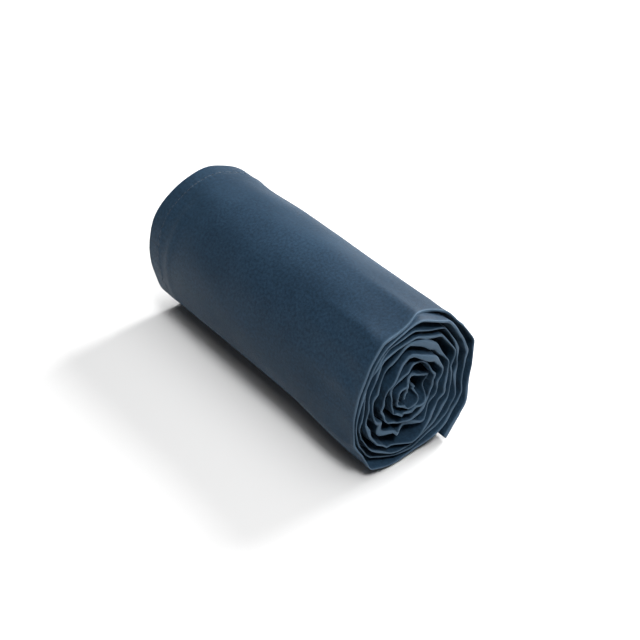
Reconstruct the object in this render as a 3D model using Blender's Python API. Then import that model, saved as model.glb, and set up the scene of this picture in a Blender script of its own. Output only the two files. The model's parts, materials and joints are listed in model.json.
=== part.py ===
"""Quick-dry travel towel, folded in four along its length and rolled up.

Units are metres and +Z is up. The roll lies along X on its flattened base, centred on
the origin. +X is the folded end, where the plies turn back on themselves, and -X is the
end that holds one fold and the two long hems. The last stretch of cloth hangs free down
the +Y side: it is the flap that lifts away from the roll.

The cloth's outer surface follows one spiral. Its angle, called the winding here, is
counted in degrees from the free end inwards, so winding 0 is the free end, 360 lies one
turn under it, and the largest winding is the end in the core. Every piece is a strip: a
section in (depth, x), swept along a stretch of that spiral. Depth is counted from the
outer surface towards the core.
"""
import math

import bpy

# The towel laid flat
TOWEL_WIDTH = 0.800
TOWEL_LENGTH = 1.300
PLIES = 4
HEM_WIDTH = 0.012
THREAD_WIDTH = 0.0008
THREAD_HEIGHT = 0.0005

# The roll
PITCH = 0.0049               # from one turn to the next: four plies, and the air between them
WIDTH_SHARE = 0.92           # the roll stands slightly taller than it is wide
CORE_RADIUS = 0.0015         # the loose cloth in the middle leaves no real hole
BASE_SAG = 0.0018            # how far the roll's weight flattens its base
TURN_GAP = 0.0005            # least air between one turn and the next
PIECE_GAP = 0.0003           # air between pieces that touch on the real towel

# Angles from the top of the roll towards +Y, in degrees
FLAP_END_ANGLE = 135.0
FLAP_ROOT_ANGLE = 45.0

# Winding steps, in degrees
TURN_STEP = 15.0             # divides 45, so the widest points are corners
END_STEP = 2.0               # a short last step, so that an end face is square to the spiral

# Worked out from the sizes above
ROLL_LENGTH = TOWEL_WIDTH / PLIES
BUNDLE = PITCH * WIDTH_SHARE - TURN_GAP          # thickness of the four plies together
PLY = BUNDLE / PLIES
MEAN_SHARE = (1.0 + WIDTH_SHARE) / 2             # turns the oval's radius into its mean radius
WOUND_AREA = PITCH * TOWEL_LENGTH / (math.pi * MEAN_SHARE)
SPIRAL_RADIUS = BUNDLE / 2 + math.sqrt((CORE_RADIUS + BUNDLE / 2) ** 2 + WOUND_AREA)
ROOT_WINDING = FLAP_END_ANGLE - FLAP_ROOT_ANGLE
BOTTOM_WINDING = FLAP_END_ANGLE + 180.0          # where the outer turn crosses the base
CORE_WINDING = 360.0 * (SPIRAL_RADIUS - CORE_RADIUS - BUNDLE) / PITCH

CLOTH_COLOUR = (0.022, 0.040, 0.066, 1.0)
HEM_COLOUR = (0.020, 0.036, 0.060, 1.0)
THREAD_COLOUR = (0.028, 0.048, 0.078, 1.0)


def spiral_radius(winding):
    """Distance of the outer surface from the roll's axis, before the base is flattened."""
    return SPIRAL_RADIUS - PITCH * winding / 360.0


BASE_RADIUS = spiral_radius(BOTTOM_WINDING)
AXIS_HEIGHT = BASE_RADIUS - BASE_SAG
AXIS_Y = -WIDTH_SHARE * PITCH / 4.0              # centres the box: the right side is half a pitch out


def rest_height(turn):
    """Height of the flat that a turn rests on, counted from the outer turn, which is turn 0.

    The flats shrink towards the core, where the cloth carries less weight.
    """
    radius = spiral_radius(BOTTOM_WINDING + 360.0 * turn)
    sag = BASE_SAG * (radius / BASE_RADIUS) ** 2
    return AXIS_HEIGHT - radius + sag


def spiral_point(winding):
    """(y, z) of the outer surface."""
    angle = math.radians(FLAP_END_ANGLE - winding)
    radius = spiral_radius(winding)
    turn = round((winding - BOTTOM_WINDING) / 360.0)
    y = AXIS_Y + WIDTH_SHARE * radius * math.sin(angle)
    z = AXIS_HEIGHT + radius * math.cos(angle)
    return y, max(z, rest_height(turn))


def winding_after(winding, length):
    """The winding that lies the given length of cloth further in."""
    return winding + math.degrees(length / spiral_radius(winding))


def make_material(name, colour, roughness):
    material = bpy.data.materials.new(name)
    material.use_nodes = True
    shader = material.node_tree.nodes["Principled BSDF"]
    shader.inputs["Base Color"].default_value = colour
    shader.inputs["Roughness"].default_value = roughness
    shader.inputs["Metallic"].default_value = 0.0
    return material


def make_collection(name):
    collection = bpy.data.collections.new(name)
    bpy.context.scene.collection.children.link(collection)
    return collection


def poly_curve(name, points, cyclic):
    curve = bpy.data.curves.new(name, "CURVE")
    curve.dimensions = "2D"
    spline = curve.splines.new("POLY")
    spline.points.add(len(points) - 1)
    for point, (x, y) in zip(spline.points, points):
        point.co = (x, y, 0.0, 1.0)
    spline.use_cyclic_u = cyclic
    return curve


def make_section(name, corners):
    """A guide curve: the strip's section, with depth along its X and the roll's axis along Y."""
    guide = bpy.data.objects.new(name + "_section", poly_curve(name + "_section", corners, True))
    guide.hide_render = True
    guide.display_type = "WIRE"
    guides.objects.link(guide)
    return guide


def rectangle(depth_low, depth_high, x_low, x_high):
    return [(-depth_low, x_low), (-depth_high, x_low), (-depth_high, x_high), (-depth_low, x_high)]


def make_strip(name, start, end, corners, material, parent=None):
    """Sweep a section along the spiral from winding start to winding end."""
    end_step = min(END_STEP, (end - start) / 3)
    first, last = math.ceil(start / TURN_STEP), math.floor(end / TURN_STEP)
    steps = [TURN_STEP * i for i in range(first, last + 1)]
    middle = [w for w in steps if start + end_step < w < end - end_step]
    windings = [start, start + end_step] + middle + [end - end_step, end]
    origin = parent.location if parent else (0.0, 0.0, 0.0)
    points = []
    for winding in windings:
        y, z = spiral_point(winding)
        points.append((y - origin[1], z - origin[2]))
    curve = poly_curve(name, points, False)
    curve.bevel_mode = "OBJECT"
    curve.bevel_object = make_section(name, corners)
    curve.use_fill_caps = True
    curve.materials.append(material)
    strip = bpy.data.objects.new(name, curve)
    strip.rotation_euler = (math.pi / 2, 0.0, math.pi / 2)   # the curve's X, Y, Z become Y, Z, X
    if parent:
        strip.parent = parent
    towel.objects.link(strip)
    return strip


for old in list(bpy.data.objects):
    bpy.data.objects.remove(old, do_unlink=True)

towel = make_collection("quick_dry_towel")
guides = make_collection("guides")

cloth = make_material("navy_cloth", CLOTH_COLOUR, 0.75)
hem = make_material("navy_hem", HEM_COLOUR, 0.80)
thread = make_material("navy_thread", THREAD_COLOUR, 0.55)

# Places across the roll. The long hems lie at the far end, on the two outer plies.
X_FAR = -ROLL_LENGTH / 2
X_NEAR = ROLL_LENGTH / 2
X_HEM = X_FAR + HEM_WIDTH
X_THREAD = X_HEM + PIECE_GAP
X_PANEL = X_THREAD + THREAD_WIDTH + PIECE_GAP

# Places along the cloth, as windings
FREE_HEM_END = winding_after(0.0, HEM_WIDTH)
FREE_THREAD_START = winding_after(FREE_HEM_END, PIECE_GAP)
FREE_THREAD_END = winding_after(FREE_THREAD_START, THREAD_WIDTH)
FLAP_START = winding_after(FREE_THREAD_END, PIECE_GAP)
OUTER_START = winding_after(ROOT_WINDING, PIECE_GAP)
OUTER_END = ROOT_WINDING + 360.0
INNER_START = winding_after(OUTER_END, PIECE_GAP)
CORE_HEM_START = winding_after(CORE_WINDING, -HEM_WIDTH)
CORE_THREAD_END = winding_after(CORE_HEM_START, -PIECE_GAP)
CORE_THREAD_START = winding_after(CORE_THREAD_END, -THREAD_WIDTH)
INNER_END = winding_after(CORE_THREAD_START, -PIECE_GAP)

# Sections. The panel fills the bundle's depth, apart from where the long hems lie on it.
FOLD_DEPTH = 2 * PLY + PIECE_GAP / 2
PANEL_SECTION = [
    (0.0, X_PANEL), (-FOLD_DEPTH, X_PANEL), (-FOLD_DEPTH, X_FAR),
    (-BUNDLE, X_FAR), (-BUNDLE, X_NEAR), (0.0, X_NEAR),
]
OUTER_HEM_SECTION = rectangle(0.0, PLY - PIECE_GAP / 2, X_FAR, X_HEM)
INNER_HEM_SECTION = rectangle(PLY + PIECE_GAP / 2, 2 * PLY - PIECE_GAP / 2, X_FAR, X_HEM)
END_HEM_SECTION = rectangle(0.0, BUNDLE, X_FAR, X_NEAR)
OUTER_THREAD_SECTION = rectangle(PIECE_GAP, PIECE_GAP + THREAD_HEIGHT, X_THREAD, X_THREAD + THREAD_WIDTH)
INNER_THREAD_SECTION = rectangle(
    PLY + PIECE_GAP, PLY + PIECE_GAP + THREAD_HEIGHT, X_THREAD, X_THREAD + THREAD_WIDTH)
END_THREAD_SECTION = rectangle(PIECE_GAP, PIECE_GAP + THREAD_HEIGHT, X_FAR, X_NEAR)

# The flap turns about the outer surface at its root, so it opens without rubbing the roll
hinge = bpy.data.objects.new("flap_hinge", None)
hinge.location = (0.0, *spiral_point(ROOT_WINDING))
towel.objects.link(hinge)

# The wound part of the towel
make_strip("inner_turns", INNER_START, INNER_END, PANEL_SECTION, cloth)
make_strip("outer_turn", OUTER_START, OUTER_END, PANEL_SECTION, cloth)
make_strip("outer_long_hem", OUTER_START, INNER_END, OUTER_HEM_SECTION, hem)
make_strip("inner_long_hem", OUTER_START, INNER_END, INNER_HEM_SECTION, hem)
make_strip("outer_long_thread", OUTER_START, INNER_END, OUTER_THREAD_SECTION, thread)
make_strip("inner_long_thread", OUTER_START, INNER_END, INNER_THREAD_SECTION, thread)
make_strip("core_end_thread", CORE_THREAD_START, CORE_THREAD_END, END_THREAD_SECTION, thread)
make_strip("core_end_hem", CORE_HEM_START, CORE_WINDING, END_HEM_SECTION, hem)

# The free flap
make_strip("free_flap", FLAP_START, ROOT_WINDING, PANEL_SECTION, cloth, hinge)
make_strip("flap_outer_hem", FLAP_START, ROOT_WINDING, OUTER_HEM_SECTION, hem, hinge)
make_strip("flap_inner_hem", FLAP_START, ROOT_WINDING, INNER_HEM_SECTION, hem, hinge)
make_strip("flap_outer_thread", FLAP_START, ROOT_WINDING, OUTER_THREAD_SECTION, thread, hinge)
make_strip("flap_inner_thread", FLAP_START, ROOT_WINDING, INNER_THREAD_SECTION, thread, hinge)
make_strip("free_end_thread", FREE_THREAD_START, FREE_THREAD_END, END_THREAD_SECTION, thread, hinge)
make_strip("free_end_hem", 0.0, FREE_HEM_END, END_HEM_SECTION, hem, hinge)
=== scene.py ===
"""Looks for the rolled quick-dry towel: the whole folded cloth, its hems and its stitching.

The towel is one sheet, four plies deep, wound on a spiral. A place in it is given by its
winding, in degrees of turn from the free end inwards, by its ply, and by its distance
along the roll. Cross-sections at the far end, the middle and the near end say where each
turn lies, and every vertex is blended between them.
"""
import json
import math

import bpy
import numpy as np
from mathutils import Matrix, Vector


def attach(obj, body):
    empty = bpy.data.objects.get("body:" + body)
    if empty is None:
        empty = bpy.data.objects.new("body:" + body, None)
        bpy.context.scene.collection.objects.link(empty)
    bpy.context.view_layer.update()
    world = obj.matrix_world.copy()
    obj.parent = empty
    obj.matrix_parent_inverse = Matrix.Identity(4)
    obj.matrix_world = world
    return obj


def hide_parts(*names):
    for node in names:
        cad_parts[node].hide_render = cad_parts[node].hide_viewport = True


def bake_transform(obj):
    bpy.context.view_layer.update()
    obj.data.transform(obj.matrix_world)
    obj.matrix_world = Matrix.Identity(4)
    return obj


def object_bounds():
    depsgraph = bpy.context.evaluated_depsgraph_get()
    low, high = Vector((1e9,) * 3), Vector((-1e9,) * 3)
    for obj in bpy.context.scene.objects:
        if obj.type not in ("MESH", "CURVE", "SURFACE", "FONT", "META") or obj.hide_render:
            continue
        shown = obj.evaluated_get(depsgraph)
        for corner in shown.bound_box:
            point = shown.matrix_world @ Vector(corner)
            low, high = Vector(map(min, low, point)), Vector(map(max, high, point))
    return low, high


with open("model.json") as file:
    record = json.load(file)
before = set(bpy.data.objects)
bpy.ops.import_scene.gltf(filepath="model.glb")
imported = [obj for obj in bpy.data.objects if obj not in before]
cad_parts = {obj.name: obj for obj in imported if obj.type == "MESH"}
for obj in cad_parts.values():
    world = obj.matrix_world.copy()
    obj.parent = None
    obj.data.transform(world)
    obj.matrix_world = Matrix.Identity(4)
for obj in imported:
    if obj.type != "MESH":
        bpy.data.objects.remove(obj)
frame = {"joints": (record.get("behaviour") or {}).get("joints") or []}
cad_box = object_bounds()

MM = 0.001

# ---------------------------------------------------------------------------
# Sizes
# ---------------------------------------------------------------------------
low, high = cad_box
HALF_LENGTH = (high[0] - low[0]) / 2
hinge = frame["joints"][0]
HINGE_Y, HINGE_Z = hinge["pos_m"][1], hinge["pos_m"][2]

FLAP_END_ANGLE = 135.0       # from the top of the roll towards +Y, in degrees
PITCH = 4.9 * MM
WIDTH_SHARE = 0.92
BASE_SAG = 1.8 * MM
LAST_WINDING = 3120.0
CLOTH = 0.22 * MM
HEM_CLOTH = 0.66 * MM
HEM_WIDTH = 12.0 * MM
STITCH_LINE = 10.3 * MM
BUNDLE_HALF = 2.0 * MM
SEAM_WINDING = 315.0         # under the roll, where the wrap meets the inner turns
FLAP_WINDING = 80.0          # the cloth hangs free up to here

# The hinge lies on the spiral's outer surface, a quarter turn in, and so gives the spiral
QUARTER = math.sqrt(0.5)
AXIS_Y = -WIDTH_SHARE * PITCH / 4
SPIRAL_RADIUS = (HINGE_Y - AXIS_Y) / (WIDTH_SHARE * QUARTER) + PITCH / 4
AXIS_Z = HINGE_Z - (SPIRAL_RADIUS - PITCH / 4) * QUARTER

# ---------------------------------------------------------------------------
# Cross-sections, on a grid of windings
# ---------------------------------------------------------------------------
STEP = 3.0
TURN = int(360 / STEP)
TURNS = 9
GRID = np.arange(0, (TURNS + 1) * TURN + 1) * STEP

# Rings of the near end, as (turns wound, corners), each corner an angle and a radius in mm.
# Beyond the second ring the inner turns pull away to the right and leave a hollow.
NEAR_RINGS = [
    (0.5, [(112, 39.3), (90, 38.0), (68, 42.6), (50, 42.6), (31, 46.0), (5, 47.8), (-27, 46.9),
           (-44, 43.7), (-67, 40.5), (-92, 40.0), (-115, 44.0), (-141, 46.0), (-166, 43.0),
           (-192, 41.0), (-208, 39.0)]),
    (3.5, [(90, 25.0), (60, 31.0), (30, 35.8), (0, 38.2), (-36, 38.3), (-64, 32.5), (-92, 31.5),
           (-101, 33.5), (-134, 34.2), (-157, 32.5), (180, 31.5), (150, 27.5), (120, 26.0)]),
    (4.5, [(90, 19.0), (60, 25.0), (30, 31.0), (10, 33.5), (-8, 34.5), (-20, 27.5), (-40, 26.3), (-79, 26.5),
           (-99, 26.0), (-120, 28.7), (-135, 30.0), (-155, 28.0), (180, 27.0), (150, 22.3)]),
    (5.5, [(90, 15.5), (60, 20.5), (30, 24.5), (10, 26.3), (-5, 26.0), (-17, 22.2), (-60, 21.0), (-90, 19.5),
           (-120, 21.5), (-150, 20.5), (180, 20.0), (150, 18.0), (120, 16.5)]),
    (7.4, [(90, 11.0), (60, 12.0), (0, 13.0), (-60, 12.5), (-120, 11.5), (180, 11.5), (120, 9.5)]),
    (8.4, [(90, 3.5), (60, 4.0), (0, 7.5), (-60, 8.0), (-120, 7.5), (180, 6.0), (120, 3.5)]),
    (9.2, [(90, 2.0), (0, 3.0), (-90, 2.5), (180, 2.5)]),
]
RING_GAP = 3.0               # between the outermost turns, in mm

# Single kinks in the turns: (turn, angle, spread, change in mm)
NEAR_KINKS = [
    (4, -118, 9, -2.2), (4, -132, 8, 2.0), (4, -147, 9, -2.4), (4, -163, 8, 1.6), (4, -178, 9, -2.0),
    (3, -150, 9, 1.2), (5, -100, 10, 1.6), (5, 160, 10, 1.5), (4, 110, 12, 1.6), (3, 75, 9, -1.6),
    (2, 70, 10, -1.5), (1, 64, 8, -1.2), (7, -30, 12, -2.4), (7, -75, 12, 1.6), (7, 170, 14, -2.0),
    (7, 60, 12, 1.6), (8, -10, 14, 2.4), (8, -60, 14, -1.8),
]

# Crests that stand out or draw back along the roll: (turn, angle, spread, change in mm)
CREST_MOVES = [
    (0, 14, 15, -4.0), (0, 62, 14, 1.5), (0, 112, 14, 2.0), (1, 10, 22, -1.5), (4, 20, 30, 1.5),
    (5, 20, 30, 2.0), (4, -128, 14, -3.5), (4, -150, 10, 2.0), (4, -175, 14, -4.0), (7, 80, 40, -4.0),
    (8, 60, 60, -7.0), (7, -40, 30, 1.5), (3, -40, 60, 1.5), (4, -50, 60, -1.5),
]

# Crests that open into a wide fold: (turn, angle, spread, extra half width in mm)
WIDE_CRESTS = [
    (4, 16, 22, 1.8), (5, 20, 24, 1.6), (4, -128, 16, 1.4), (4, -172, 18, 1.6),
    (0, 12, 16, 0.6), (7, -20, 26, 0.7), (6, 150, 24, 0.9),
]


def bump(winding, turn, angle, spread):
    """1 at an angle of one turn, falling to 0 over the spread on both sides."""
    centre = 360.0 * turn + FLAP_END_ANGLE - angle
    return np.exp(-((winding - centre) / spread) ** 2)


def smooth_noise(length, period, seed):
    """Noise of about unit size, with the given period in samples."""
    knots = np.random.default_rng(seed).normal(size=int(length / period) + 4)
    at = np.arange(length) / period
    i = at.astype(int)
    t = at - i
    t = t * t * (3 - 2 * t)
    return knots[i] * (1 - t) + knots[i + 1] * t


def kinked_noise(length, shortest, longest, seed):
    """Noise made of straight stretches, whose lengths in samples lie between two limits."""
    rng = np.random.default_rng(seed)
    corners = np.cumsum(rng.uniform(shortest, longest, size=int(length / shortest) + 2))
    return np.interp(np.arange(length), corners, rng.normal(size=len(corners)))


def smooth_step(t):
    """Rises smoothly from 0 to 1 as t does."""
    t = np.clip(t, 0, 1)
    return t * t * (3 - 2 * t)


def polygon_radius(angles, corners):
    """Radius of a closed polygon at each angle, with its corners slightly rounded."""
    fine = np.arange(0, 360, 1.0)
    points = sorted((a % 360, r) for a, r in corners)
    points = [(points[-1][0] - 360, points[-1][1])] + points + [(points[0][0] + 360, points[0][1])]
    radius = np.zeros_like(fine)
    for (a0, r0), (a1, r1) in zip(points, points[1:]):
        inside = (fine >= a0) & (fine <= a1)
        t0, t1, t = np.radians(a0), np.radians(a1), np.radians(fine[inside])
        radius[inside] = r0 * r1 * np.sin(t1 - t0) / (r0 * np.sin(t - t0) + r1 * np.sin(t1 - t))
    kernel = np.exp(-(np.arange(-9, 10) / 2.4) ** 2)
    kernel /= kernel.sum()
    radius = np.convolve(np.concatenate([radius[-9:], radius, radius[:9]]), kernel, "valid")
    return np.interp(np.asarray(angles) % 360, np.append(fine, 360.0), np.append(radius, radius[0]))


def regular_section():
    """Radius of the bundle's outer surface in the middle of the roll, flattened at the base."""
    angle = np.radians(FLAP_END_ANGLE - GRID)
    radius = SPIRAL_RADIUS - PITCH * GRID / 360
    turn = np.round((GRID - FLAP_END_ANGLE - 180) / 360)
    base = SPIRAL_RADIUS - PITCH * (FLAP_END_ANGLE + 180 + 360 * turn) / 360
    sag = BASE_SAG * (base / (SPIRAL_RADIUS - PITCH * 0.875)) ** 2
    down = np.maximum(-np.cos(angle), 1e-3)
    return np.minimum(radius, (base - sag) / down)


def near_section():
    """Radius of each fold's outer edge at the near end."""
    turns = GRID / 360
    angles = FLAP_END_ANGLE - GRID
    ring_turns = [turn for turn, corners in NEAR_RINGS]
    rings = np.array([polygon_radius(angles, corners) for turn, corners in NEAR_RINGS])
    radius = np.array([np.interp(turn, ring_turns, ring) for turn, ring in zip(turns, rings.T)])
    radius += RING_GAP * np.maximum(0.5 - turns, 0)
    radius += 0.32 * kinked_noise(len(GRID), 4, 14, 3)
    for turn, angle, spread, change in NEAR_KINKS:
        centre = 360.0 * turn + FLAP_END_ANGLE - angle
        radius += change * np.clip(1 - np.abs(GRID - centre) / spread, 0, 1)
    return radius * MM


def at(winding, values):
    """One of the arrays on the grid, read at any winding."""
    return np.interp(winding, GRID, values)


def local_spacing(radius):
    """The smaller of the distances to the turns on both sides."""
    inner = np.full_like(radius, 1.0)
    inner[:-TURN] = radius[:-TURN] - radius[TURN:]
    outer = np.full_like(radius, 1.0)
    outer[TURN:] = inner[:-TURN]
    return np.minimum(np.minimum(inner, outer), 6 * MM)


MIDDLE_RADIUS = regular_section() - BUNDLE_HALF
NEAR_EDGE = near_section()
NEAR_SPACE = local_spacing(NEAR_EDGE)
CREST_HALF = np.clip(0.32 + 0.30 * kinked_noise(len(GRID), 3, 10, 11), 0.14, 1.0)
for turn, angle, spread, extra in WIDE_CRESTS:
    CREST_HALF += extra * bump(GRID, turn, angle, spread)
CREST_HALF += 0.8 * np.clip(1 - GRID / 20, 0, 1)
CREST_HALF *= MM
NEAR_HALF = np.maximum(np.clip(0.42 * NEAR_SPACE, 0.9 * MM, 2.2 * MM), 0.9 * CREST_HALF)
NEAR_RADIUS = NEAR_EDGE - CREST_HALF - 0.2 * MM
CREST_DEPTH = (16 + 4 * np.clip(smooth_noise(len(GRID), 8, 12), -1.5, 1.5)) * MM
CREST_LEAN = 0.20 * NEAR_SPACE * np.clip(kinked_noise(len(GRID), 3, 12, 13), -1.5, 1.5)
CREST_OUT = (1.0 * smooth_noise(len(GRID), 12, 14) + 0.8 * kinked_noise(len(GRID), 3, 10, 15)) * MM
for turn, angle, spread, change in CREST_MOVES:
    CREST_OUT += change * MM * bump(GRID, turn, angle, spread)
WRINKLES = 0.36 * MM * kinked_noise(len(GRID), 1.5, 6, 21)
CROSSING_WRINKLES = 0.28 * MM * kinked_noise(len(GRID), 3, 8, 22)
FAR_OUT = 0.6 * smooth_noise(len(GRID), 10, 16) * MM

# ---------------------------------------------------------------------------
# The cloth: rows run round the roll, columns run along it
# ---------------------------------------------------------------------------
# Ply A is outermost. A and B meet in the near end's crest, which wraps the crest of D and C;
# B and C meet in the far end's fold, and A and D end there in the long hems.
PLY_SHARE = {"A": 0.75, "D": 0.25, "C": -0.25, "B": -0.75}
HIDDEN_DEPTH = 4.0 * MM
NEAR_HOLD = 14 * MM           # the near section holds this far in, and is gone by the reach
NEAR_REACH = 72 * MM
TIP_DOME = 0.4 * MM
FOLD_INSET = 0.4 * MM          # the far fold stands this far back from the hems

FREE_END_COLUMNS = [d * MM for d in (0, 0.6, 2.5, 5, 8, 9.4, 10.3, 11.2, 12.0, 12.5, 13.5, 15)]
WRAP_ROWS = {
    "hem": [0, 0.6, 2.5, 5, 8, 9.5, 10.3, 11.1, 12.0, 12.5, 13.7, 15.5, 17.5, 19.5, 21.5, 23.5, 26],
    "fold": [0.8, 2.5, 5, 9, 15, 24],
    "crest": [36, 29, 23.5, 19, 15, 12, 9.5, 7.5, 6, 4.7, 3.6, 2.7, 1.9, 1.2, 0.6, 0.2],
    "hidden": [36, 26, 18, 12, 7, 4, 2, 0.5],
    "middle": [30 + 5.7 * i for i in range(22)],
    "tip": [75, 60, 45, 30, 15],
}
ROLL_ROWS = {
    "hem": [0, 4, 10.3, 12.2, 22],
    "fold": [1.5, 8],
    "crest": [26, 19, 14, 10.5, 7.7, 5.6, 4.0, 2.8, 1.8, 1.0, 0.4],
    "hidden": [24, 10, 3, 0.8],
    "middle": [40, 90, 145],
    "tip": [60, 30],
}


def row_list(rows):
    """Every row of the folded sheet, hem to hem, as (ply, kind, distance in mm or tip angle)."""
    tips = [90] + rows["tip"]
    out = [("A", "far", d) for d in rows["hem"]]
    out += [("A", "far", d) for d in rows["middle"]]
    out += [("A", "near", d) for d in rows["crest"]]
    out += [("A", "tip", t) for t in tips] + [("A", "tip", 0)]
    out += [("B", "tip", t) for t in reversed(tips)]
    out += [("B", "near", d) for d in reversed(rows["crest"])]
    out += [("B", "far", d) for d in reversed(rows["middle"])]
    out += [("B", "far", d) for d in reversed(rows["fold"])]
    out += [("B", "fold", t) for t in (90, 45, 0)] + [("C", "fold", t) for t in (45, 90)]
    out += [("C", "far", d) for d in rows["fold"]]
    out += [("C", "far", d) for d in rows["middle"]]
    out += [("C", "near", d) for d in rows["hidden"]]
    out += [("C", "tip", t) for t in (90, 45, 0)] + [("D", "tip", t) for t in (45, 90)]
    out += [("D", "near", d) for d in reversed(rows["hidden"])]
    out += [("D", "far", d) for d in reversed(rows["middle"])]
    out += [("D", "far", d) for d in reversed(rows["hem"])]
    return out


def row_run(row, winding):
    """Distance along the roll, offset from the bundle's middle, and thickness of one row."""
    ply, kind, value = row
    side = 1 if ply in "AD" else -1
    share = PLY_SHARE[ply]
    outside = ply in "AB"
    far_edge = -HALF_LENGTH - at(winding, FAR_OUT)
    crest = HALF_LENGTH + at(winding, CREST_OUT) - (0 if outside else HIDDEN_DEPTH)
    tip = at(winding, CREST_HALF) if outside else np.full_like(winding, 0.3 * MM)
    dome = np.minimum(tip, TIP_DOME)
    turned = math.radians(value) if kind in ("tip", "fold") else 0.0
    if kind == "tip":
        x = crest - dome * (1 - math.cos(turned))
    elif kind == "near":
        x = crest - dome - value * MM
    elif kind == "fold":
        x = far_edge + FOLD_INSET * (1 - math.cos(turned))
    else:
        x = far_edge + value * MM + (0 if ply in "AD" else FOLD_INSET)
    near = smooth_step((NEAR_REACH - (HALF_LENGTH - x)) / (NEAR_REACH - NEAR_HOLD))
    half = BUNDLE_HALF * (1 - near) + at(winding, NEAR_HALF) * near
    offset = share * half
    if kind == "tip":
        offset = side * tip * math.sin(turned)
    elif kind == "near":
        opening = smooth_step(value * MM / at(winding, CREST_DEPTH)) ** 0.75
        offset = side * tip + (share * half - side * tip) * opening
    elif kind == "fold":
        offset = (-0.5 - side_of_fold(ply) * 0.25 * math.sin(turned)) * half
    return x, offset, near


def side_of_fold(ply):
    """Which side of the far end's fold a ply is on: B is the inner side, C the outer."""
    return 1 if ply == "B" else -1


# Waves in the outer surface: (round the roll, along it, phase)
RUMPLES = [(7.3, 4.1, 0.3), (5.2, -7.7, 2.1), (9.6, 9.3, 4.0), (3.1, 13.0, 5.2), (12.4, -5.6, 1.1)]
# Lobes in the far end's outline: (angle, spread, change in mm)
FAR_LOBES = [(-128, 9, 1.6), (-108, 10, -0.9), (-60, 12, 0.9), (-28, 14, -0.8), (62, 12, 0.8)]


def dents(x, angle):
    """Broad soft dents in the roll, shared by every turn."""
    along = x / HALF_LENGTH
    field = np.sin(2.3 * angle + 1.9 * along + 0.4) * np.cos(2.1 * along - 0.6 + 0.8 * np.sin(angle))
    field += 0.6 * np.sin(3.7 * angle - 2.6 * along + 1.7)
    swell = np.exp(-((angle - 0.75) / 0.6) ** 2 - ((along + 0.15) / 0.6) ** 2)
    rumple = np.zeros_like(field)
    for round_count, along_count, phase in RUMPLES:
        rumple += np.sin(round_count * angle + along_count * along + phase)
    # the layers under the outermost show through near the far end as soft ridges round the roll
    inside = (x + HALF_LENGTH) / MM
    uneven = 0.6 + 0.4 * np.sin(2.0 * angle + 1.0)
    ridges = 0.85 * np.exp(-((inside - 13.5 - 1.5 * np.sin(angle * 1.7)) / 2.4) ** 2) * uneven
    ridges += 0.70 * np.exp(-((inside - 21.5 + 1.5 * np.sin(angle * 2.3)) / 2.6) ** 2) * (1.3 - uneven)
    lobes = np.zeros_like(field)
    for lobe_angle, spread, change in FAR_LOBES:
        lobes += change * np.exp(-((angle - math.radians(lobe_angle)) / math.radians(spread)) ** 2)
    lobes *= smooth_step(1 - inside / 34)
    return MM * (0.48 * field + 1.6 * swell + 0.10 * rumple + ridges + lobes)


def to_space(winding, x, offset, near):
    """Points in space for places in the cloth."""
    centre = at(winding, MIDDLE_RADIUS) * (1 - near) + at(winding, NEAR_RADIUS) * near
    width = WIDTH_SHARE * (1 - near) + near
    lean = at(winding, CREST_LEAN) * smooth_step(1 - (HALF_LENGTH - x) / (12 * MM))
    free = np.clip(1 - winding / FLAP_WINDING, 0, 1) ** 2
    behind = (HALF_LENGTH - x) / MM
    fade = np.exp(-((behind / 18) ** 2)) * np.clip(behind / 3, 0.3, 1)
    wrinkle = at(winding + 0.9 * behind, WRINKLES) + at(winding - 0.7 * behind, CROSSING_WRINKLES)
    radius = centre + offset + lean + fade * wrinkle
    radius += (3.5 * free * (1 - near) + 9.5 * free ** 2 * near) * MM
    angle = np.radians(FLAP_END_ANGLE - winding + free * (8 + 6 * near))
    radius += dents(x, angle) * (radius / SPIRAL_RADIUS) ** 2 * np.clip(-np.cos(angle) * -4 + 3, 0, 1)
    # the inner turns sway a little along the roll, as nothing holds them straight
    sway = 4.4 * MM * np.clip(1 - radius / SPIRAL_RADIUS, 0, 1) * (1 - near)
    y = AXIS_Y + width * radius * np.sin(angle) + sway * np.sin(33 * x)
    z = AXIS_Z + radius * np.cos(angle) + sway * np.cos(33 * x)
    return np.stack([x, y, np.maximum(z, 0.3 * MM)], -1)


def winding_columns(start, end, step, first=()):
    """Windings spaced evenly along the cloth, and the length of cloth at each."""
    fine = np.linspace(start, end, 6000)
    arc = np.radians(np.diff(fine)) * (at(fine[1:], MIDDLE_RADIUS) + BUNDLE_HALF)
    length = np.concatenate([[0], np.cumsum(arc)])
    lead = first[-1] if first else 0.0
    even = np.linspace(lead, length[-1], int((length[-1] - lead) / step) + 1)
    even = np.concatenate([np.array(first[:-1]), even])
    return np.interp(even, length, fine), even


def hem_share(distance):
    """Thickness near a hemmed edge, from 1 in the hem to the plain cloth's share."""
    plain = CLOTH / HEM_CLOTH
    share = plain + (1 - plain) * smooth_step((HEM_WIDTH + 0.4 * MM - distance) / (0.8 * MM))
    return share - 0.35 * np.exp(-((distance - STITCH_LINE) / (0.5 * MM)) ** 2)


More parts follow.
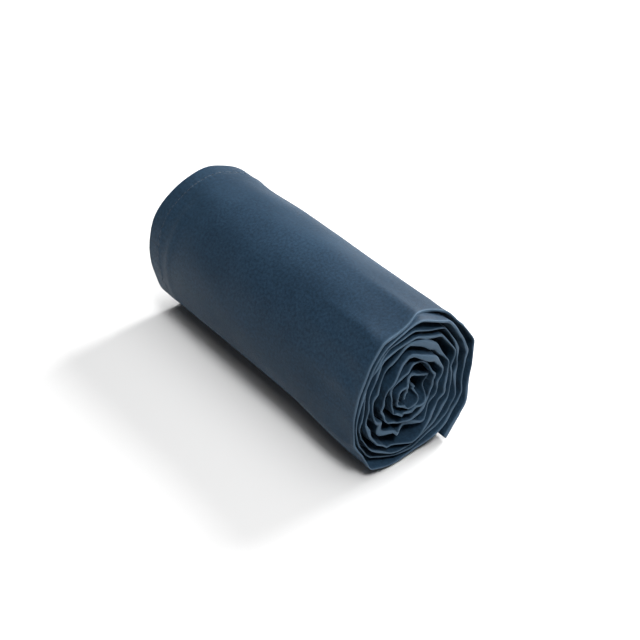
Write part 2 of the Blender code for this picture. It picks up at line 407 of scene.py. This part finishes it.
def build_cloth(name, start, end, step, row_lists, end_at_start, end_at_end):
    """One stretch of the folded sheet as a mesh, with a thickness for every vertex."""
    windings, length = winding_columns(start, end, step, FREE_END_COLUMNS if end_at_start else ())
    points, thickness, crest, across = [], [], [], []
    from_end = np.full_like(length, 1.0)
    if end_at_start:
        from_end = length
    if end_at_end:
        from_end = length[-1] - length
    for row in row_list(row_lists):
        x, offset, near = row_run(row, windings)
        if row[0] in "AD" and row[1] == "far":
            pucker = np.exp(-((row[2] - 10.3) / 2.0) ** 2) * 0.16 * MM
            offset = offset + pucker * np.sin(length / (1.05 * MM) + 1.5 * np.sin(length / (7 * MM)))
            from_edge = np.minimum(from_end, row[2] * MM)
        else:
            from_edge = from_end
        points.append(to_space(windings, x, offset, near))
        thickness.append(hem_share(from_edge))
        # painted highlight: rows on the tips of the near end's folds get a crest value of 1, fading over
        # about a third of a millimetre behind the tip, and the cloth material paints these places paler
        highlight_on_tip = row[0] in "AB" and row[1] in ("tip", "near")
        depth = 0.0 if row[1] == "tip" else row[2]
        crest.append(np.full_like(x, np.exp(-depth / 0.35) if highlight_on_tip else 0.0))
        across.append(x)
    points = np.array(points)
    thickness = np.array(thickness)
    rows, columns = thickness.shape
    corner = np.arange(rows - 1)[:, None] * columns + np.arange(columns - 1)[None]
    faces = np.stack([corner, corner + 1, corner + columns + 1, corner + columns], -1)
    mesh = bpy.data.meshes.new(name)
    mesh.from_pydata(points.reshape(-1, 3).tolist(), [], faces.reshape(-1, 4).tolist())
    mesh.shade_smooth()
    # the crest attribute carries the painted highlight of the fold tips to the cloth material
    edge = mesh.attributes.new("crest", "FLOAT", "POINT")
    edge.data.foreach_set("value", np.array(crest).reshape(-1))
    # the weave follows the cloth: metres across the towel, metres along it
    flat = np.stack([np.array(across), np.broadcast_to(length, thickness.shape)], -1).reshape(-1, 2)
    uv = mesh.uv_layers.new(name="cloth")
    loops = np.zeros(len(mesh.loops), dtype=np.int32)
    mesh.loops.foreach_get("vertex_index", loops)
    uv.data.foreach_set("uv", flat[loops].reshape(-1))
    cloth = bpy.data.objects.new(name, mesh)
    bpy.context.scene.collection.objects.link(cloth)
    group = cloth.vertex_groups.new(name="thickness")
    levels = np.round(thickness.reshape(-1) * 50).astype(int)
    for level in np.unique(levels):
        group.add(np.nonzero(levels == level)[0].tolist(), level / 50, "REPLACE")
    solid = cloth.modifiers.new("thickness", "SOLIDIFY")
    solid.thickness = HEM_CLOTH
    solid.offset = 0.0
    solid.vertex_group = "thickness"
    return cloth


wrap = build_cloth("towel_wrap", 0, SEAM_WINDING, 1.2 * MM, WRAP_ROWS, True, False)
roll = build_cloth("towel_roll", SEAM_WINDING, LAST_WINDING, 1.79 * MM, ROLL_ROWS, False, True)

# ---------------------------------------------------------------------------
# Stitches: short lengths of thread along the hems
# ---------------------------------------------------------------------------
STITCH_STEP = 2.8 * MM
STITCH_LENGTH = 2.2 * MM
THREAD_RADIUS = 0.19 * MM


def surface_point(row, winding):
    """One point of the sheet in space."""
    w = np.array([winding])
    x, offset, near = row_run(row, w)
    return Vector(to_space(w, x, offset, near)[0])


def stitch_frame(row, winding, outward):
    """A place on the hem's surface, with its outward direction and the direction round the roll."""
    here = surface_point(row, winding)
    round_the_roll = (surface_point(row, winding + 1.0) - here).normalized()
    along = (surface_point((row[0], row[1], row[2] + 1.0), winding) - here).normalized()
    normal = along.cross(round_the_roll).normalized()
    if normal.dot(here - Vector((here.x, AXIS_Y, AXIS_Z))) < 0:
        normal = -normal
    lift = 0.42 * HEM_CLOTH * outward
    return here + normal * lift, normal, round_the_roll, along


# Rings of one stitch: (share of its length, width, height), in thread radii
STITCH_PROFILE = [
    (-0.5, 0.35, -0.9), (-0.38, 0.85, -0.3), (0, 1.0, 0.25), (0.38, 0.85, -0.3), (0.5, 0.35, -0.9),
]


def add_stitch(verts, faces, place, normal, direction):
    """A thin capsule that dips into the cloth at both ends."""
    side = normal.cross(direction)
    first = len(verts)
    for share, width, height in STITCH_PROFILE:
        for k in range(6):
            turn = math.radians(60 * k)
            ring = side * math.cos(turn) + normal * math.sin(turn)
            lift = normal * height * THREAD_RADIUS
            verts.append(place + direction * share * STITCH_LENGTH + ring * width * THREAD_RADIUS + lift)
    for ring in range(len(STITCH_PROFILE) - 1):
        for k in range(6):
            a = first + ring * 6 + k
            b = first + ring * 6 + (k + 1) % 6
            faces.append((a, b, b + 6, a + 6))
    faces.append(tuple(first + k for k in reversed(range(6))))
    faces.append(tuple(first + (len(STITCH_PROFILE) - 1) * 6 + k for k in range(6)))


def stitch_object(name, stitches):
    """All the stitches of one row as a single mesh."""
    verts, faces = [], []
    for place, normal, direction in stitches:
        add_stitch(verts, faces, place, normal, direction)
    mesh = bpy.data.meshes.new(name)
    mesh.from_pydata([tuple(v) for v in verts], [], faces)
    mesh.shade_smooth()
    thread = bpy.data.objects.new(name, mesh)
    bpy.context.scene.collection.objects.link(thread)
    return thread


def long_hem_stitches(start, end):
    """Stitches along the outer hem, parallel to the rim of the roll."""
    windings, length = winding_columns(start, end, STITCH_STEP)
    out = []
    for winding in windings[:-1]:
        place, normal, direction, along = stitch_frame(("A", "far", STITCH_LINE / MM), winding, 1)
        out.append((place, normal, direction))
    return out


def free_end_stitches(outward, ply):
    """Stitches along the free end, parallel to the roll's axis."""
    winding = math.degrees(STITCH_LINE / SPIRAL_RADIUS)
    count = int((2 * HALF_LENGTH - 10 * MM) / STITCH_STEP)
    out = []
    for i in range(count):
        distance = 3.0 + i * STITCH_STEP / MM
        place, normal, direction, along = stitch_frame((ply, "far", distance), winding, outward)
        out.append((place, normal * outward, along))
    return out


hem_stitches = stitch_object("hem_stitches", long_hem_stitches(15, SEAM_WINDING - 2))
under_stitches = stitch_object("covered_hem_stitches", long_hem_stitches(SEAM_WINDING + 2, 470))
end_stitches = stitch_object("free_end_stitches", free_end_stitches(1, "A") + free_end_stitches(-1, "B"))

# ---------------------------------------------------------------------------
# Materials
# ---------------------------------------------------------------------------
def new_node(tree, kind, **sockets):
    """A shader node with values on its own sockets."""
    node = tree.nodes.new(kind)
    for name, value in sockets.items():
        node.inputs[name.replace("_", " ")].default_value = value
    return node


def cloth_material(name):
    """Fine navy cloth: a tight weave under a short nap, with a painted highlight that makes it paler on the
    tips of the near end's folds, where light catches them.
    """
    material = bpy.data.materials.new(name)
    material.use_nodes = True
    tree = material.node_tree
    link = tree.links.new
    shader = tree.nodes["Principled BSDF"]
    shader.inputs["Specular IOR Level"].default_value = 0.12
    shader.inputs["Sheen Weight"].default_value = 0.09
    shader.inputs["Sheen Roughness"].default_value = 0.38
    shader.inputs["Sheen Tint"].default_value = (0.50, 0.74, 1.0, 1)
    cloth_map = tree.nodes.new("ShaderNodeUVMap")
    cloth_map.uv_map = "cloth"

    # the weave: two sets of fine threads that cross
    warp = new_node(tree, "ShaderNodeTexWave", Scale=700.0, Distortion=0.6, Detail=1.0)
    warp.bands_direction = "X"
    weft = new_node(tree, "ShaderNodeTexWave", Scale=620.0, Distortion=0.6, Detail=1.0)
    weft.bands_direction = "Y"
    weave = tree.nodes.new("ShaderNodeMath")
    weave.operation = "MULTIPLY"
    link(cloth_map.outputs["UV"], warp.inputs["Vector"])
    link(cloth_map.outputs["UV"], weft.inputs["Vector"])
    link(warp.outputs["Fac"], weave.inputs[0])
    link(weft.outputs["Fac"], weave.inputs[1])

    # the nap: patches brushed one way or the other
    nap = new_node(tree, "ShaderNodeTexNoise", Scale=90.0, Detail=5.0, Roughness=0.62)
    patches = new_node(tree, "ShaderNodeTexNoise", Scale=14.0, Detail=2.0, Roughness=0.5)
    grain = new_node(tree, "ShaderNodeTexNoise", Scale=560.0, Detail=3.0, Roughness=0.7)
    link(cloth_map.outputs["UV"], grain.inputs["Vector"])
    link(cloth_map.outputs["UV"], nap.inputs["Vector"])
    link(cloth_map.outputs["UV"], patches.inputs["Vector"])

    tone = tree.nodes.new("ShaderNodeMath")
    tone.operation = "MULTIPLY_ADD"
    tone.inputs[1].default_value = 0.45
    link(nap.outputs["Fac"], tone.inputs[0])
    link(patches.outputs["Fac"], tone.inputs[2])
    ramp = tree.nodes.new("ShaderNodeValToRGB")
    ramp.color_ramp.elements[0].position = 0.50
    ramp.color_ramp.elements[0].color = (0.0080, 0.0218, 0.0405, 1)
    ramp.color_ramp.elements[1].position = 0.95
    ramp.color_ramp.elements[1].color = (0.0140, 0.0340, 0.0600, 1)
    link(tone.outputs["Value"], ramp.inputs["Fac"])

    threads = tree.nodes.new("ShaderNodeMix")
    threads.data_type = "RGBA"
    threads.blend_type = "MULTIPLY"
    threads.inputs["B"].default_value = (0.86, 0.88, 0.90, 1)
    link(weave.outputs["Value"], threads.inputs["Factor"])
    link(ramp.outputs["Color"], threads.inputs["A"])

    speckle = tree.nodes.new("ShaderNodeMapRange")
    speckle.inputs["From Min"].default_value = 0.35
    speckle.inputs["From Max"].default_value = 0.65
    speckle.inputs["To Min"].default_value = 0.74
    speckle.inputs["To Max"].default_value = 1.30
    link(grain.outputs["Fac"], speckle.inputs["Value"])
    grained = tree.nodes.new("ShaderNodeMix")
    grained.data_type = "RGBA"
    grained.blend_type = "MULTIPLY"
    grained.inputs["Factor"].default_value = 1.0
    link(threads.outputs["Result"], grained.inputs["A"])
    link(speckle.outputs["Result"], grained.inputs["B"])

    # painted highlight: the crest attribute mixes in a paler navy, standing in for light caught by the tips
    # of the near end's folds
    crest = tree.nodes.new("ShaderNodeAttribute")
    crest.attribute_name = "crest"
    folded = tree.nodes.new("ShaderNodeMix")
    folded.data_type = "RGBA"
    folded.inputs["B"].default_value = (0.048, 0.082, 0.122, 1)
    link(crest.outputs["Fac"], folded.inputs["Factor"])
    link(grained.outputs["Result"], folded.inputs["A"])
    link(folded.outputs["Result"], shader.inputs["Base Color"])

    rough = tree.nodes.new("ShaderNodeMapRange")
    rough.inputs["To Min"].default_value = 0.50
    rough.inputs["To Max"].default_value = 0.68
    link(nap.outputs["Fac"], rough.inputs["Value"])
    link(rough.outputs["Result"], shader.inputs["Roughness"])

    height = tree.nodes.new("ShaderNodeMath")
    height.operation = "MULTIPLY_ADD"
    height.inputs[1].default_value = 0.6
    link(nap.outputs["Fac"], height.inputs[0])
    link(weave.outputs["Value"], height.inputs[2])
    bump_node = tree.nodes.new("ShaderNodeBump")
    bump_node.inputs["Strength"].default_value = 0.35
    bump_node.inputs["Distance"].default_value = 0.0001
    link(height.outputs["Value"], bump_node.inputs["Height"])
    link(bump_node.outputs["Normal"], shader.inputs["Normal"])
    return material


def thread_material(name):
    """Navy sewing thread, a little smoother than the cloth, with a twist."""
    material = bpy.data.materials.new(name)
    material.use_nodes = True
    tree = material.node_tree
    link = tree.links.new
    shader = tree.nodes["Principled BSDF"]
    shader.inputs["Roughness"].default_value = 0.45
    shader.inputs["Sheen Weight"].default_value = 0.05
    place = tree.nodes.new("ShaderNodeTexCoord")
    twist = new_node(tree, "ShaderNodeTexWave", Scale=420.0, Distortion=0.4)
    twist.bands_direction = "DIAGONAL"
    link(place.outputs["Object"], twist.inputs["Vector"])
    ramp = tree.nodes.new("ShaderNodeValToRGB")
    ramp.color_ramp.elements[0].color = (0.0080, 0.0205, 0.0380, 1)
    ramp.color_ramp.elements[1].color = (0.0150, 0.0330, 0.0570, 1)
    link(twist.outputs["Fac"], ramp.inputs["Fac"])
    link(ramp.outputs["Color"], shader.inputs["Base Color"])
    bump_node = tree.nodes.new("ShaderNodeBump")
    bump_node.inputs["Strength"].default_value = 0.3
    bump_node.inputs["Distance"].default_value = 0.00005
    link(twist.outputs["Fac"], bump_node.inputs["Height"])
    link(bump_node.outputs["Normal"], shader.inputs["Normal"])
    return material


navy = cloth_material("navy_woven_cloth")
thread = thread_material("navy_sewing_thread")
for piece in (wrap, roll):
    piece.data.materials.append(navy)
for piece in (hem_stitches, under_stitches, end_stitches):
    piece.data.materials.append(thread)

# ---------------------------------------------------------------------------
# What each piece moves with and stands for
# ---------------------------------------------------------------------------
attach(roll, "roll")
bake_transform(wrap)
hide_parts("inner_turns", "core_end_hem", "core_end_thread", "inner_long_hem", "inner_long_thread")
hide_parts("outer_turn", "outer_long_hem", "outer_long_thread", "free_flap", "flap_outer_hem",
            "flap_inner_hem", "flap_outer_thread", "flap_inner_thread", "free_end_hem", "free_end_thread")
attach(under_stitches, "roll")
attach(end_stitches, "flap")
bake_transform(hem_stitches)

# ---------------------------------------------------------------------------
# Floor, light and camera
# ---------------------------------------------------------------------------
bpy.ops.mesh.primitive_plane_add(size=2.6, location=(0, 0, 0))
floor = bpy.context.object
floor.name = "floor"
pale = bpy.data.materials.new("pale_floor")
pale.use_nodes = True
pale.node_tree.nodes["Principled BSDF"].inputs["Base Color"].default_value = (0.62, 0.62, 0.62, 1)
pale.node_tree.nodes["Principled BSDF"].inputs["Roughness"].default_value = 0.9
floor.data.materials.append(pale)

world = bpy.data.worlds.new("studio")
world.use_nodes = True
sky = world.node_tree
direction = sky.nodes.new("ShaderNodeTexCoord")
split = sky.nodes.new("ShaderNodeSeparateXYZ")
level = sky.nodes.new("ShaderNodeMapRange")
level.interpolation_type = "SMOOTHSTEP"
level.inputs["From Min"].default_value = 0.0
level.inputs["From Max"].default_value = 0.22
level.inputs["To Min"].default_value = 0.90
level.inputs["To Max"].default_value = 0.05
sky.links.new(direction.outputs["Generated"], split.inputs["Vector"])
sky.links.new(split.outputs["Z"], level.inputs["Value"])
sky.links.new(level.outputs["Result"], sky.nodes["Background"].inputs["Strength"])
sky.nodes["Background"].inputs["Color"].default_value = (1, 1, 1, 1)
bpy.context.scene.world = world


def softbox(name, location, size, power):
    """A round soft light aimed at the towel."""
    light = bpy.data.lights.new(name, "AREA")
    light.shape = "DISK"
    light.size = size
    light.energy = power
    lamp = bpy.data.objects.new(name, light)
    lamp.location = location
    lamp.rotation_euler = (Vector((0, 0, 0.04)) - Vector(location)).to_track_quat("-Z", "Y").to_euler()
    bpy.context.scene.collection.objects.link(lamp)


softbox("ceiling", (0.3, 0.1, 2.4), 3.0, 55)
softbox("back", (-0.1, 0.90, 0.68), 0.5, 26)
softbox("key", (0.74, -0.20, 1.20), 0.36, 14)

CAMERA_AZIMUTH = math.radians(53.8)
CAMERA_ELEVATION = math.radians(34.4)
CAMERA_DISTANCE = 0.797
CAMERA_LENS = 77.6
target = Vector((0, 0.0121, 0.0284))
back = Vector((
    math.sin(CAMERA_AZIMUTH) * math.cos(CAMERA_ELEVATION),
    -math.cos(CAMERA_AZIMUTH) * math.cos(CAMERA_ELEVATION),
    math.sin(CAMERA_ELEVATION),
))
camera = bpy.data.objects.new("camera", bpy.data.cameras.new("camera"))
camera.data.lens = CAMERA_LENS
camera.location = target + back * CAMERA_DISTANCE
camera.rotation_euler = (-back).to_track_quat("-Z", "Y").to_euler()
bpy.context.scene.collection.objects.link(camera)
bpy.context.scene.camera = camera
bpy.context.scene.view_settings.view_transform = "Standard"
